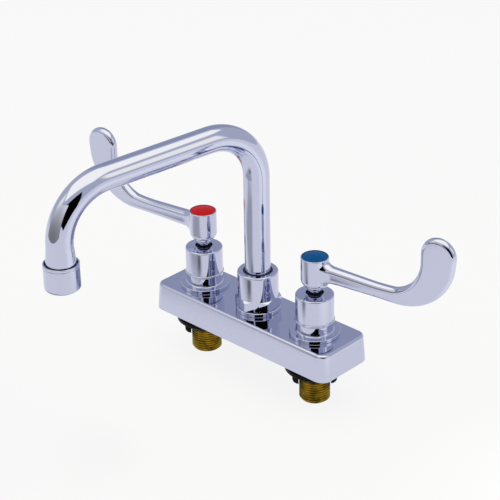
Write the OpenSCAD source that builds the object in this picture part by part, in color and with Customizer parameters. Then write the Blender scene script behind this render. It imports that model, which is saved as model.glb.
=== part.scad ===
// Deck-mount faucet on 101.6 mm centres, with wrist blade handles and a swing spout.
// Millimetres. X runs from hot to cold, the spout points along -Y, Z is up, and z = 0 is the deck.

/* [Body] */
// Length of the body along X, at the deck
body_l = 158; // [150:1:170]
// Width of the body along Y, at the deck
body_w = 47; // [46:1:56]
// Height of the body above the deck
body_h = 19.4; // [19:0.1:22]
// Thickness of the cast walls
body_wall = 2.6; // [2:0.1:3]
// How far each side leans in from deck to top
body_draft = 1.5; // [0.5:0.1:2]
// Radius of the upright corners, at the deck
body_corner_r = 8; // [6:0.5:10]
// Radius of the rounded top edge
body_edge_r = 2.1; // [1:0.1:2.5]
// Thickness of the rubber sheet that closes the underside
gasket_t = 2.2; // [1.5:0.1:2.5]

/* [Supply shanks] */
// Distance between the hot and the cold shank
centres = 101.6; // [101.6, 102]
// Outside radius of the shank thread
shank_r = 10.4; // [10.2:0.1:10.5]
// Length of a shank below the deck
shank_l = 30.6; // [28:0.1:60]
// Radius of the waterway through a shank
shank_bore_r = 7.4; // [6:0.1:8]
// Height from one thread to the next
thread_pitch = 1.814; // [1.5:0.001:2]

/* [Mounting nuts] */
// Radius of the nut's flange
nut_flange_r = 20.2; // [18:0.1:20.4]
// Radius of the nut's barrel
nut_barrel_r = 13.6; // [12.5:0.1:15]
// Reach of a wing from the nut's axis
nut_wing_r = 15.1; // [14.5:0.1:18]
// Thickness of a wing
nut_wing_t = 6; // [4:0.5:8]
// Height of the nut, with its wings
nut_h = 15.8; // [14:0.1:18]
// Outside radius of the steel washer above the nut
washer_r = 17; // [15:0.5:18]
// Thickness of that washer
washer_t = 1.2; // [1:0.1:1.5]
// Gap between the deck plane and the washer, as packed
washer_gap = 2.15; // [2.1:0.05:4]

/* [Valves] */
// Radius of the escutcheon's rim
escutcheon_r = 17; // [16.5:0.1:18]
// Height of the escutcheon
escutcheon_h = 9.7; // [9.4:0.1:11]
// Radius of the escutcheon's collar
collar_r = 12.5; // [12.3:0.1:12.9]
// Radius of the bonnet at its foot
bonnet_r = 13.4; // [13.2:0.1:14]
// Radius of the bonnet above its foot bead
bonnet_wall_r = 12.85; // [12.5:0.05:13]
// Height of the bonnet
bonnet_h = 20.4; // [20:0.1:21.4]
// Slope of the bonnet's conical top, in degrees
bonnet_slope = 10; // [6:1:14]
// Radius of the ceramic discs
disc_r = 6.8; // [6.5:0.1:6.85]
// Thickness of one ceramic disc
disc_t = 2.4; // [2:0.1:2.5]
// Radius of the valve stem in its bearing
stem_r = 4.5; // [4.3:0.1:4.6]
// Angle that each valve turns from shut to open
valve_turn = 90; // [90]

/* [Handles] */
// Radius of the handle's hub
hub_r = 9.3; // [9:0.1:10]
// Height of the hub's foot above the deck
hub_z = 52.5; // [52.5:0.1:54]
// Height of the hub, with its neck
hub_h = 23.2; // [23.2:0.1:24]
// Radius of the hub's short collar at its foot
hub_neck_r = 5.5; // [5.2:0.05:5.7]
// Radius of the fillet where the arm meets the hub
arm_fillet = 2.8; // [1:0.1:2.9]
// Reach of the blade from the hub's axis
blade_reach = 102.2; // [96:0.1:110]
// Height of the blade's tip above the deck
blade_top = 113.8; // [110:0.1:118]
// Height of the blade's lowest edge above the deck
blade_low = 60; // [59:0.1:61]
// Radius of the paddle's round end
paddle_r = 12.1; // [11:0.1:13]
// Radius of the blade's outer curve
outer_bend_r = 40; // [38:1:44]
// Radius of the blade's inner curve
inner_bend_r = 24.5; // [23:0.5:26]
// Thickness of the arm next to the hub
arm_t = 9; // [8:0.1:10]
// Thickness of the paddle
paddle_t = 6.6; // [5:0.1:8]
// Turn of the hot blade from the -X axis, as photographed
hot_turn = 5.1; // [-10:0.1:10]
// Turn of the cold blade from the +X axis, as photographed
cold_turn = 8.3; // [-10:0.1:10]
// Radius of the coloured index button
button_r = 8.6; // [8:0.1:8.8]

/* [Spout] */
// Outside radius of the spout tube
tube_r = 8.75; // [8:0.05:9]
// Wall of the spout tube
tube_wall = 1.2; // [0.8:0.1:1.5]
// Reach of the spout from its swivel to its outlet
spout_reach = 148.7; // [140:0.1:205]
// Height of the corner where the rise and the arm would meet
spout_corner_z = 154; // [150:0.1:200]
// Radius of both tube bends, along the centre line
spout_bend_r = 35.8; // [34:0.1:37]
// Fall of the arm towards the outlet, in degrees
spout_fall = 2.2; // [0:0.1:4]
// Turn of the spout from straight ahead, as photographed
spout_turn = -10.1; // [-60:0.1:60]
// Radius of the spout nut's round part
spout_nut_r = 13.85; // [13.4:0.05:14.2]
// Width of the nut's hexagon across its flats
hex_flats = 27.5; // [27:0.5:28]
// Height of the hexagon
hex_h = 7.5; // [6:0.5:8]
// Turn of the hexagon about the spout's axis, as tightened
hex_turn = 37; // [0:1:59]
// Height of the whole spout nut
spout_nut_h = 25.8; // [25.4:0.1:26.4]
// Radius of the flange below the hexagon
post_flange_r = 15.4; // [15:0.1:16]

/* [Aerator] */
// Outside radius of the aerator shell
aerator_r = 11.5; // [11.4:0.1:12]
// Height of the aerator shell
aerator_h = 17.7; // [17:0.1:18.5]
// Height of the aerator's lower rim above the deck
aerator_z = 84.5; // [83:0.1:86]

/* [Fits] */
// Gap all round a piece that turns in its bearing
running_gap = 0.05; // [0.02:0.01:0.09]
// Gap all round the swivel in its post
swivel_gap = 0.08; // [0.02:0.01:0.09]
// Gap between two pieces that are screwed or set together
seat_gap = 0.15; // [0.05:0.01:0.3]
// Gap between two pieces that pass each other
clear_gap = 0.45; // [0.3:0.05:0.5]

/* [Hidden] */
$fn = 72;
hull_fn = 32;
chrome = "#b9bcc8";
brass = "#a9842f";
rubber = "#1b1b1c";
nylon = "#141415";
steel = "#9a9ca0";
ceramic = "#ece9e0";
hot_colour = "#c41e22";
cold_colour = "#0a4f8a";
half = centres / 2;
eps = 0.01;

// Heights inside the valves, from the seat up
seat_floor = 6;
seat_t = 1.4;
seal_t = 1.2;
fixed_z = seat_floor + seat_t + seal_t;
turning_z = fixed_z + disc_t + 0.02;
foot_z = turning_z + disc_t + 0.02;
foot_h = 3.4;
foot_r = 6.6;
foot_w = 5.4;
cup_bore_r = 8.9;
cup_wall_r = 10.9;
cup_top = 37;
cup_flange_r = 13;
cup_flange_t = 3;
port_r = 5;
socket_r = shank_r - 1;
boss_r = 14;
boss_bore_r = 11;
boss_floor = gasket_t + 3.2;
cartridge_r = 8;
cartridge_top = 46.6;
cartridge_shoulder_z = cup_top - 9;
head_h = 3.8;
head_r = 10.8;
neck_r = 5.65;
stem_step_z = cartridge_top - 0.4;
wiper_h = 1.6;
stem_seal_z = [26, 31];
stem_seal_t = 0.55;
opening_r = neck_r + 0.3;
plate_low = body_h - 3.2;
cross_z = 11.4;
cross_r = 4.6;
cross_bore_r = 3.2;
escutcheon_z = body_h + 0.03;
bonnet_z = escutcheon_z + escutcheon_h + 0.1;

// Heights inside the hub
spline_top = hub_z + 10.8;
spline_r = 3.75;
spline_teeth = 20;
web_t = 2.6;
screw_r = 2;
screw_head_r = 3.6;
pocket_r = 5;
button_z = hub_z + hub_h - 2;

// Heights in the swivel
post_low = 12;
post_bore_r = tube_r + 0.95;
post_thread_r = post_bore_r + 1.5;
post_flange_h = 2.8;
nut_z = body_h + 0.05 + post_flange_h + 0.15;
nut_ledge = nut_z + 17.8;
post_top = nut_ledge - 2.2;
bushing_r = tube_r + 1.15;
tube_low = 30;
swivel_low = 18;
swivel_bore_r = tube_r - tube_wall - 0.75;
swivel_seal_z = [21, 26];
swivel_seal_t = 0.82;
swivel_r = post_bore_r - swivel_gap;

// The spout's centre line, in its own plane: s runs outwards and z is up
rise_bend = 90 + spout_fall;
drop_bend = 90 - spout_fall;
rise_tangent = spout_bend_r * tan(rise_bend / 2);
drop_tangent = spout_bend_r * tan(drop_bend / 2);
far_corner_z = spout_corner_z - spout_reach * tan(spout_fall);
arm_l = spout_reach / cos(spout_fall) - rise_tangent - drop_tangent;
drop_z = far_corner_z - drop_tangent;
outlet_r = 10.3;
outlet_low = aerator_z + 8.5;
lip_r = 8.6;
lip_t = 1.4;

// A ring or disc turned from a list of [radius, height] points
module turned(points) {
    rotate_extrude() polygon(points);
}

module tube_between(r_out, r_in, low, high) {
    difference() {
        translate([0, 0, low]) cylinder(r = r_out, h = high - low);
        translate([0, 0, low - 1]) cylinder(r = r_in, h = high - low + 2);
    }
}

module at_hot() {
    translate([-half, 0, 0]) children();
}

module at_cold() {
    translate([half, 0, 0]) children();
}

// One corner post of the body: it leans in and has a rounded top edge
module corner_post(r, top, edge) {
    lean = body_draft * (top - edge) / body_h;
    foot = [[0, 0], [r, 0]];
    rim = [for (a = [0:15:90]) [r - lean - edge + edge * cos(a), top - edge + edge * sin(a)]];
    rotate_extrude($fn = hull_fn) polygon(concat(foot, rim, [[0, top]]));
}

module body_block(inset, top, edge) {
    x = body_l / 2 - body_corner_r;
    y = body_w / 2 - body_corner_r;
    hull()
        for (sx = [-1, 1], sy = [-1, 1])
            translate([sx * x, sy * y, 0]) corner_post(body_corner_r - inset, top, edge);
}

module body_casting() {
    color(chrome)
    difference() {
        body_block(0, body_h, body_edge_r);
        translate([0, 0, -eps]) body_block(body_wall, plate_low + 0.1, body_edge_r);
        for (x = [-half, 0, half])
            translate([x, 0, 0]) cylinder(r = cup_wall_r + 0.3, h = body_h + 1);
    }
}

module body_gasket() {
    x = body_l / 2 - body_corner_r;
    y = body_w / 2 - body_corner_r;
    r = body_corner_r - body_wall - 0.3;
    color(rubber)
    difference() {
        linear_extrude(gasket_t)
            hull()
                for (sx = [-1, 1], sy = [-1, 1]) translate([sx * x, sy * y]) circle(r, $fn = hull_fn);
        for (x = [-half, half])
            translate([x, 0, -1]) cylinder(r = cup_wall_r + 0.7, h = gasket_t + 2);
    }
}

// Outside of one valve cup, from its socket to its threaded top
module cup_outside() {
    flange_low = plate_low - cup_flange_t;
    turned([[0, 0.3], [cup_wall_r, 0.3], [cup_wall_r, flange_low], [cup_flange_r, flange_low],
        [cup_flange_r, plate_low], [cup_wall_r, plate_low], [cup_wall_r, cup_top - 0.6],
        [cup_wall_r - 0.6, cup_top], [0, cup_top]]);
}

// Inside of one valve cup: shank socket, seat port and cartridge bore
module cup_inside() {
    translate([0, 0, -1]) cylinder(r = socket_r, h = seat_floor + 0.9);
    cylinder(r = port_r, h = seat_floor + 3);
    translate([0, 0, seat_floor + seat_t]) cylinder(r = cup_bore_r, h = cup_top);
}

module waterway() {
    color(brass)
    difference() {
        union() {
            for (x = [-half, half]) translate([x, 0, 0]) cup_outside();
            translate([-half, 0, cross_z]) rotate([0, 90, 0]) cylinder(r = cross_r, h = centres);
            translate([0, 0, gasket_t + 0.3]) cylinder(r = boss_r, h = plate_low - gasket_t - 0.3);
        }
        for (x = [-half, half]) translate([x, 0, 0]) cup_inside();
        for (s = [-1, 1])
            translate([s * (half - port_r), 0, cross_z]) rotate([0, -s * 90, 0])
                cylinder(r = cross_bore_r, h = half - 2 * port_r);
        translate([0, 0, boss_floor]) cylinder(r = boss_bore_r, h = body_h);
    }
}

// A shank is plain at its thread's outside radius, with a run-out groove above its free end
module shank() {
    groove_z = -shank_l + 4 * thread_pitch;
    color(brass)
    difference() {
        turned([[shank_bore_r, -shank_l], [shank_r - 0.9, -shank_l], [shank_r, -shank_l + 0.9],
            [shank_r, groove_z], [shank_r - 0.4, groove_z + 0.3], [shank_r - 0.4, groove_z + 0.9],
            [shank_r, groove_z + 1.2], [shank_r, 0.2], [socket_r - 0.1, 0.2],
            [socket_r - 0.1, seat_floor - 0.2], [shank_bore_r, seat_floor - 0.2]]);
        translate([0, 0, -shank_l]) cylinder(r1 = shank_bore_r + 0.8, r2 = shank_bore_r, h = 0.8);
    }
}

module clamp_washer() {
    color(steel) tube_between(washer_r, shank_r + clear_gap, -washer_gap - washer_t, -washer_gap);
}

// A moulded nut: flange, tapered skirt, barrel and two wings, hung below its washer
module mounting_nut() {
    top = -washer_gap - washer_t - 0.3;
    low = top - nut_h;
    flange_h = 3.4;
    barrel_low = top - 8.6;
    color(nylon)
    difference() {
        union() {
            turned([[0, top], [nut_flange_r, top], [nut_flange_r, top - flange_h],
                [nut_barrel_r + 2, top - flange_h - 3], [nut_barrel_r, barrel_low], [0, barrel_low]]);
            translate([0, nut_wing_t / 2, 0]) rotate([90, 0, 0])
                linear_extrude(nut_wing_t) wing_outline(top, low);
        }
        translate([0, 0, low - 1]) cylinder(r = shank_r + clear_gap, h = nut_h + 2);
    }
}

module wing_outline(top, low) {
    corner = 4;
    root = shank_r - 1;
    for (s = [-1, 1])
        scale([s, 1]) {
            translate([nut_wing_r - corner, low + corner]) circle(corner);
            translate([root, low]) square([nut_wing_r - corner - root, nut_h - 1]);
            translate([root, low + corner]) square([nut_wing_r - root, nut_h - corner - 1]);
        }
}

module escutcheon() {
    fillet = 1;
    rim_t = 2.6;
    root_t = 2.9;
    top = escutcheon_z + escutcheon_h;
    rim = [for (a = [0:30:90])
        [escutcheon_r - 0.4 + 0.4 * cos(a), escutcheon_z + rim_t - 0.4 + 0.4 * sin(a)]];
    root = [for (a = [90:-15:0])
        [collar_r + fillet * (1 - cos(a)), escutcheon_z + root_t + fillet * (1 - sin(a))]];
    color(chrome)
    turned(concat([[cup_wall_r + 0.4, escutcheon_z], [escutcheon_r - 0.2, escutcheon_z],
        [escutcheon_r, escutcheon_z + 0.3]], rim, root, [[collar_r, top], [cup_wall_r + 0.4, top]]));
}

// A turned cover: a round bead at its foot, an upright wall and a conical top
module bonnet() {
    top = bonnet_z + bonnet_h;
    roof_t = 4.6;
    bead = 0.8;
    corner = 1;
    cone_r = bonnet_wall_r - corner + corner * sin(bonnet_slope);
    corner_z = top - (cone_r - opening_r - 0.2) * tan(bonnet_slope) - corner * cos(bonnet_slope);
    foot = [for (a = [-90:15:90]) [bonnet_r - bead + bead * cos(a), bonnet_z + bead + bead * sin(a)]];
    shoulder = [for (i = [0:5]) let (a = i * (90 - bonnet_slope) / 5)
        [bonnet_wall_r - corner + corner * cos(a), corner_z + corner * sin(a)]];
    color(chrome)
    turned(concat([[cup_wall_r + seat_gap, bonnet_z]], foot,
        [[bonnet_r - bead, bonnet_z + 2 * bead + 0.1], [bonnet_wall_r, bonnet_z + 2 * bead + 0.3]],
        shoulder,
        [[opening_r + 0.2, top], [opening_r, top - 0.2], [opening_r, top - roof_t],
        [cup_wall_r + seat_gap, top - roof_t - 2]]));
}

// The brass cartridge: disc chamber with two windows, screwed neck, hexagon head and bearing
module cartridge() {
    low = seat_floor + seat_t + 0.1;
    chamber_top = foot_z + foot_h + 0.25;
    head_z = cup_top + 0.02;
    color(brass)
    difference() {
        union() {
            translate([0, 0, low]) cylinder(r = cartridge_r, h = head_z - low);
            translate([0, 0, cartridge_shoulder_z])
                cylinder(r = cup_bore_r - seat_gap, h = head_z - cartridge_shoulder_z);
            translate([0, 0, head_z]) cylinder(r = head_r, h = head_h, $fn = 6);
            translate([0, 0, head_z]) cylinder(r = neck_r, h = cartridge_top - head_z);
        }
        translate([0, 0, low - 1]) cylinder(r = disc_r + 0.2, h = chamber_top - low + 1);
        cylinder(r = stem_r + running_gap, h = cartridge_top + 1);
        for (a = [0, 180])
            rotate([0, 0, a + 90]) translate([4, -4, turning_z + disc_t - 0.4])
                cube([6, 8, 4]);
    }
}

module seat_seal() {
    color(rubber) tube_between(disc_r, port_r, seat_floor + seat_t + 0.01, fixed_z - 0.01);
}

// Two ports, each a slice of a ring
module disc_ports(low) {
    for (a = [0, 180])
        rotate([0, 0, a - 37]) translate([0, 0, low - 1])
            rotate_extrude(angle = 74) translate([2, 0]) square([3, disc_t + 2]);
}

module fixed_disc() {
    color(ceramic)
    difference() {
        translate([0, 0, fixed_z]) cylinder(r = disc_r, h = disc_t);
        disc_ports(fixed_z);
    }
}

module turning_disc() {
    color(ceramic)
    difference() {
        translate([0, 0, turning_z]) cylinder(r = disc_r, h = disc_t);
        rotate([0, 0, valve_turn]) disc_ports(turning_z);
        translate([-disc_r - 1, -1.55, turning_z + disc_t - 1]) cube([2 * disc_r + 2, 3.1, 2]);
    }
}

module stem() {
    groove_r = stem_r - 2 * stem_seal_t;
    color(brass)
    difference() {
        union() {
            intersection() {
                translate([0, 0, foot_z]) cylinder(r = foot_r, h = foot_h);
                translate([-foot_r, -foot_w / 2, foot_z]) cube([2 * foot_r, foot_w, foot_h]);
            }
            translate([0, 0, foot_z + 1.4]) cylinder(r = foot_r, h = foot_h - 1.4);
            translate([-foot_r + 0.4, -1.45, foot_z - 0.9]) cube([2 * foot_r - 0.8, 2.9, 1]);
            translate([0, 0, foot_z + 1]) cylinder(r = stem_r, h = stem_step_z - foot_z - 1);
            translate([0, 0, stem_step_z - 1]) cylinder(r = spline_r, h = spline_top - stem_step_z + 1);
        }
        for (z = stem_seal_z)
            translate([0, 0, z]) tube_between(stem_r + 1, groove_r, -stem_seal_t - 0.1, stem_seal_t + 0.1);
        for (i = [0:spline_teeth - 1])
            rotate([0, 0, i * 360 / spline_teeth]) translate([spline_r + 0.1, 0, hub_z + 0.6])
                cylinder(r = 0.4, h = 20, $fn = 16);
        translate([0, 0, stem_step_z + 1]) cylinder(r = screw_r + running_gap, h = 20);
    }
}

module stem_seals() {
    color(rubber)
    for (z = stem_seal_z)
        translate([0, 0, z]) rotate_extrude()
            translate([stem_r + 0.02 - stem_seal_t, 0]) circle(stem_seal_t);
}

// The rubber ring in the bonnet's opening, that keeps water off the cartridge
module stem_wiper() {
    inner = spline_r + 0.35;
    outer = opening_r - seat_gap;
    low = cartridge_top + 0.02;
    color(rubber)
    turned([[inner, low], [outer, low], [outer, low + wiper_h - 0.5], [outer - 0.4, low + wiper_h - 0.1],
        [inner + 0.7, low + wiper_h], [inner, low + wiper_h - 0.3]]);
}

// The blade's centre line and half widths, worked out from its two bends.
// u runs outwards from the hub's axis and w is the height above the deck.
tip_u = blade_reach - paddle_r;
tip_w = blade_top - paddle_r;
outer_u = blade_reach - outer_bend_r;
outer_w = blade_low + outer_bend_r;
inner_u = blade_reach - 2 * paddle_r - inner_bend_r;
inner_w = outer_w - outer_bend_r / 8;
foci = [outer_u - inner_u, outer_w - inner_w];
bend_sum = outer_bend_r + inner_bend_r;
arm_start = [0, blade_low + 6.3];
arm_half_h = 6.3;
arm_end = [blade_reach / 2, blade_low + 5.4];
arm_end_half_h = 5;
bend_t = 7.6;
function bend_reach(a) =
    (bend_sum * bend_sum - foci * foci) / (2 * bend_sum - 2 * ([cos(a), sin(a)] * foci));
function bend_point(a) = [inner_u, inner_w] + bend_reach(a) * [cos(a), sin(a)];
function mix(a, b, t) = a + (b - a) * t;

// One station of the blade: centre, direction of its width, half width and half thickness
bend_angles = [for (a = [-80:6.6:0]) a];
last = len(bend_angles) - 1;
arm_foot = hub_r - 0.6;
// One station of the arm at a distance u, thicker all round by more
function arm_station(u, more) = let (t = u / arm_end[0])
    [mix(arm_start, arm_end, t), 90, mix(arm_half_h, arm_end_half_h, t) + more,
    mix(arm_t, bend_t, t) / 2 + more];
arm_stations = concat(
    [arm_station(arm_foot - 3, arm_fillet)],
    [for (a = [0:15:75])
        arm_station(arm_foot + arm_fillet * (1 - cos(a)), arm_fillet * (1 - sin(a)))],
    [for (t = [0.28:0.24:1]) arm_station(t * arm_end[0], 0)]);
bend_stations = [for (i = [0:last])
    [bend_point(bend_angles[i]), bend_angles[i] + 180,
    bend_reach(bend_angles[i]) - inner_bend_r, mix(bend_t, paddle_t, i / last) / 2]];
tip_station = [[[tip_u, tip_w], 180, paddle_r, paddle_t / 2]];
stations = concat(arm_stations, bend_stations, tip_station);
side_points = 6;
ring_points = 2 * (side_points + 1);

// A section with flat faces and round edges, in the plane across the centre line
function section(s) = [for (side = [1, -1], k = [0:side_points])
    let (a = 180 * k / side_points - 90, across = side * (s[2] - s[3] + s[3] * cos(a)))
    [s[0][0] + across * cos(s[1]), side * s[3] * sin(a), s[0][1] + across * sin(s[1])]];

module blade() {
    rings = [for (s = stations) each section(s)];
    n = ring_points;
    count = len(stations);
    walls = [for (i = [0:count - 2], k = [0:n - 1])
        [i * n + k, i * n + (k + 1) % n, (i + 1) * n + (k + 1) % n, (i + 1) * n + k]];
    first_cap = [for (k = [n - 1:-1:0]) k];
    last_cap = [for (k = [0:n - 1]) (count - 1) * n + k];
    polyhedron(rings, concat([first_cap], walls, [last_cap]), convexity = 6);
    edge = paddle_t / 2;
    rim = [for (a = [-90:15:90]) [paddle_r - edge + edge * cos(a), edge * sin(a)]];
    translate([tip_u, 0, tip_w]) rotate([90, 0, 0])
        rotate_extrude() polygon(concat([[0, -edge]], rim, [[0, edge]]));
}

module hub_outside() {
    top = hub_z + hub_h;
    round_r = 3.5;
    belly_z = hub_z + 7.2;
    belly_h = 4.2;
    belly = [for (a = [-90:15:0]) [hub_r - round_r + round_r * cos(a), belly_z + belly_h * sin(a)]];
    turned(concat([[0, hub_z], [hub_neck_r - 0.1, hub_z], [hub_neck_r, hub_z + 0.1]], belly,
        [[hub_r, top - 0.7], [hub_r - 0.2, top - 0.2], [hub_r - 0.6, top], [0, top]]));
}

module hub_inside() {
    web_z = spline_top + 0.2;
    translate([0, 0, hub_z - 1]) cylinder(r = spline_r + 0.1, h = web_z - hub_z + 1);
    translate([0, 0, web_z - 1]) cylinder(r = screw_r + 0.1, h = web_t + 2);
    translate([0, 0, web_z + web_t]) cylinder(r = pocket_r, h = hub_h);
    translate([0, 0, button_z - 0.02]) cylinder(r = button_r + 0.05, h = hub_h);
}

module handle() {
    color(chrome)
    difference() {
        union() {
            hub_outside();
            blade();
        }
        hub_inside();
    }
}

module handle_screw() {
    head_z = spline_top + 0.2 + web_t + 0.02;
    color(steel)
    difference() {
        union() {
            translate([0, 0, head_z]) cylinder(r = screw_head_r, h = 2.4);
            translate([0, 0, hub_z]) cylinder(r = screw_r, h = head_z - hub_z + 1);
        }
        for (a = [0, 90])
            rotate([0, 0, a]) translate([-2, -0.45, head_z + 1.2]) cube([4, 0.9, 2]);
    }
}

module index_button(colour) {
    top = hub_z + hub_h + 0.9;
    dome_h = 1.2;
    dome = [for (t = [0:0.1:1]) [button_r * (1 - t), top - dome_h * (1 - t) * (1 - t)]];
    plug = button_z - pocket_r;
    color(colour)
    turned(concat([[0, plug], [pocket_r - 0.1, plug], [pocket_r - 0.1, button_z],
        [button_r, button_z]], dome));
}

module spout_post() {
    low = body_h + 0.05;
    color(chrome)
    turned([[post_bore_r, post_low], [boss_bore_r - seat_gap, post_low], [boss_bore_r - seat_gap, low],
        [post_flange_r - 0.2, low], [post_flange_r, low + 0.3],
        [post_flange_r, low + post_flange_h - 0.5], [post_flange_r - 0.5, low + post_flange_h],
        [post_thread_r, low + post_flange_h], [post_thread_r, post_top - 0.6],
        [post_thread_r - 0.6, post_top], [post_bore_r, post_top]]);
}

module spout_nut() {
    corner = hex_flats / 2 / cos(30);
    top = nut_z + spout_nut_h;
    edge = 1.3;
    rim = [for (a = [0:15:90]) [spout_nut_r - edge + edge * cos(a), top - edge + edge * sin(a)]];
    color(chrome)
    difference() {
        union() {
            intersection() {
                translate([0, 0, nut_z]) rotate([0, 0, hex_turn]) cylinder(r = corner, h = hex_h, $fn = 6);
                turned([[0, nut_z], [corner - 0.7, nut_z], [corner + 0.1, nut_z + 0.8],
                    [corner + 0.1, nut_z + hex_h - 1.4], [spout_nut_r, nut_z + hex_h],
                    [0, nut_z + hex_h]]);
            }
            turned(concat([[0, nut_z + 1], [spout_nut_r - 0.3, nut_z + 1], [spout_nut_r, nut_z + hex_h]],
                rim, [[0, top]]));
        }
        translate([0, 0, nut_z - 1]) cylinder(r = post_thread_r + seat_gap, h = nut_ledge - nut_z + 1);
        cylinder(r = bushing_r + 0.1, h = top + 1);
        translate([0, 0, top - 0.5]) cylinder(r1 = bushing_r + 0.1, r2 = bushing_r + 0.7, h = 0.6);
    }
}

module spout_bushing() {
    bore = tube_r + running_gap;
    flange = post_thread_r - 0.1;
    top = nut_z + spout_nut_h - 0.5;
    color(nylon)
    turned([[bore, post_top + 0.3], [flange, post_top + 0.3], [flange, nut_ledge - 0.1],
        [bushing_r, nut_ledge - 0.1], [bushing_r, top - 0.3], [bushing_r - 0.3, top], [bore, top]]);
}

// A length of tube or a bend of it, as a ring swept straight or round
module tube_ring() {
    difference() {
        circle(tube_r);
        circle(tube_r - tube_wall);
    }
}

module bend(angle) {
    translate([spout_bend_r, 0, 0]) rotate([90, 0, 0])
        rotate_extrude(start = 180 - angle, angle = angle)
            translate([spout_bend_r, 0]) tube_ring();
}

// The tube ends with its second bend: the outlet piece carries on from there
module spout_tube() {
    rise_z = spout_corner_z - rise_tangent;
    color(chrome)
    union() {
        translate([0, 0, tube_low]) linear_extrude(rise_z - tube_low) tube_ring();
        translate([0, 0, rise_z]) {
            bend(rise_bend);
            translate([spout_bend_r, 0, 0]) rotate([0, rise_bend, 0]) translate([-spout_bend_r, 0, 0]) {
                linear_extrude(arm_l) tube_ring();
                translate([0, 0, arm_l]) bend(drop_bend);
            }
        }
    }
}

module spout_swivel() {
    groove_r = swivel_r - 2 * swivel_seal_t;
    color(brass)
    difference() {
        translate([0, 0, swivel_low]) cylinder(r = swivel_r, h = post_top + 0.1 - swivel_low);
        translate([0, 0, swivel_low - 1]) cylinder(r = swivel_bore_r, h = post_top);
        translate([0, 0, tube_low - 0.05]) cylinder(r = tube_r + 0.02, h = post_top);
        for (z = swivel_seal_z)
            translate([0, 0, z])
                tube_between(swivel_r + 1, groove_r, -swivel_seal_t - 0.1, swivel_seal_t + 0.1);
    }
}

module spout_seals() {
    color(rubber)
    for (z = swivel_seal_z)
        translate([0, 0, z]) rotate_extrude()
            translate([swivel_r + 0.04 - swivel_seal_t, 0]) circle(swivel_seal_t);
}

// The piece brazed to the tube's end: it widens a little towards the aerator's male thread
module spout_outlet() {
    top = drop_z - 0.02;
    neck = aerator_z + aerator_h - 1.2;
    wide_r = tube_r + 0.9;
    color(chrome)
    turned([[tube_r - tube_wall, outlet_low], [outlet_r, outlet_low], [outlet_r, neck],
        [wide_r, neck], [wide_r, neck + 1.6], [tube_r, top - 0.6], [tube_r, top],
        [tube_r - tube_wall, top]]);
}

module aerator_shell() {
    top = aerator_z + aerator_h;
    edge = 2;
    lip = aerator_z + lip_t;
    low_rim = [for (a = [-90:15:0]) [aerator_r - edge + edge * cos(a), aerator_z + edge + edge * sin(a)]];
    color(chrome)
    turned(concat([[lip_r, aerator_z + 0.4], [lip_r + 0.3, aerator_z]], low_rim,
        [[aerator_r, top - 1.9], [aerator_r - 0.2, top - 1.7], [aerator_r, top - 1.5],
        [aerator_r, top - 0.4], [aerator_r - 0.4, top], [outlet_r + seat_gap, top],
        [outlet_r + seat_gap, lip], [lip_r, lip]]));
}

module aerator_washer() {
    top = outlet_low - 0.05;
    color(rubber) tube_between(outlet_r, 7.6, top - 2, top);
}

// The moulded core: an outer ring with a grid of ribs
module aerator_core() {
    low = aerator_z + lip_t + 0.6;
    high = outlet_low - 2.1;
    color("#d9d9d4")
    intersection() {
        translate([0, 0, low]) cylinder(r = outlet_r - 0.05, h = high - low);
        union() {
            tube_between(outlet_r, 8.6, low, high);
            for (i = [-3:3]) {
                translate([i * 2.6 - 0.4, -9, low]) cube([0.8, 18, high - low]);
                translate([-9, i * 2.6 - 0.4, low]) cube([18, 0.8, high - low - 0.6]);
            }
        }
    }
}

module aerator_screen() {
    low = aerator_z + lip_t + 0.1;
    wire = 0.3;
    pitch = 1.65;
    color(steel)
    union() {
        tube_between(10.2, 9.3, low, low + 0.4);
        intersection() {
            translate([0, 0, low]) cylinder(r = 9.5, h = 0.4);
            for (i = [-5:5]) {
                translate([i * pitch - wire / 2, -10, low]) cube([wire, 20, 0.4]);
                translate([-10, i * pitch - wire / 2, low]) cube([20, wire, 0.4]);
            }
        }
    }
}

module on_spout() {
    rotate([0, 0, spout_turn - 90]) children();
}

module at_outlet() {
    on_spout() translate([spout_reach, 0, 0]) children();
}

module turned_hot() {
    at_hot() rotate([0, 0, 180 + hot_turn]) children();
}

module turned_cold() {
    at_cold() rotate([0, 0, cold_turn]) children();
}

// The nuts' wings, as packed, lie across the view
module nut_turn() {
    rotate([0, 0, 44]) children();
}

body_casting();
body_gasket();
waterway();
at_hot() shank();  // hot_shank
at_cold() shank();  // cold_shank
at_hot() clamp_washer();  // hot_clamp_washer
at_cold() clamp_washer();  // cold_clamp_washer
at_hot() nut_turn() mounting_nut();  // hot_mounting_nut
at_cold() nut_turn() mounting_nut();  // cold_mounting_nut
at_hot() escutcheon();  // hot_escutcheon
at_cold() escutcheon();  // cold_escutcheon
at_hot() bonnet();  // hot_bonnet
at_cold() bonnet();  // cold_bonnet
at_hot() cartridge();  // hot_cartridge
at_cold() cartridge();  // cold_cartridge
at_hot() seat_seal();  // hot_seat_seal
at_cold() seat_seal();  // cold_seat_seal
turned_hot() fixed_disc();  // hot_fixed_disc
turned_cold() fixed_disc();  // cold_fixed_disc
turned_hot() turning_disc();  // hot_turning_disc
turned_cold() turning_disc();  // cold_turning_disc
turned_hot() stem();  // hot_stem
turned_cold() stem();  // cold_stem
turned_hot() stem_seals();  // hot_stem_seals
turned_cold() stem_seals();  // cold_stem_seals
at_hot() stem_wiper();  // hot_stem_wiper
at_cold() stem_wiper();  // cold_stem_wiper
turned_hot() handle();  // hot_handle
turned_cold() handle();  // cold_handle
turned_hot() handle_screw();  // hot_handle_screw
turned_cold() handle_screw();  // cold_handle_screw
turned_hot() index_button(hot_colour);  // hot_index_button
turned_cold() index_button(cold_colour);  // cold_index_button
spout_post();
spout_nut();
spout_bushing();
on_spout() spout_tube();
on_spout() spout_swivel();
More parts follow.
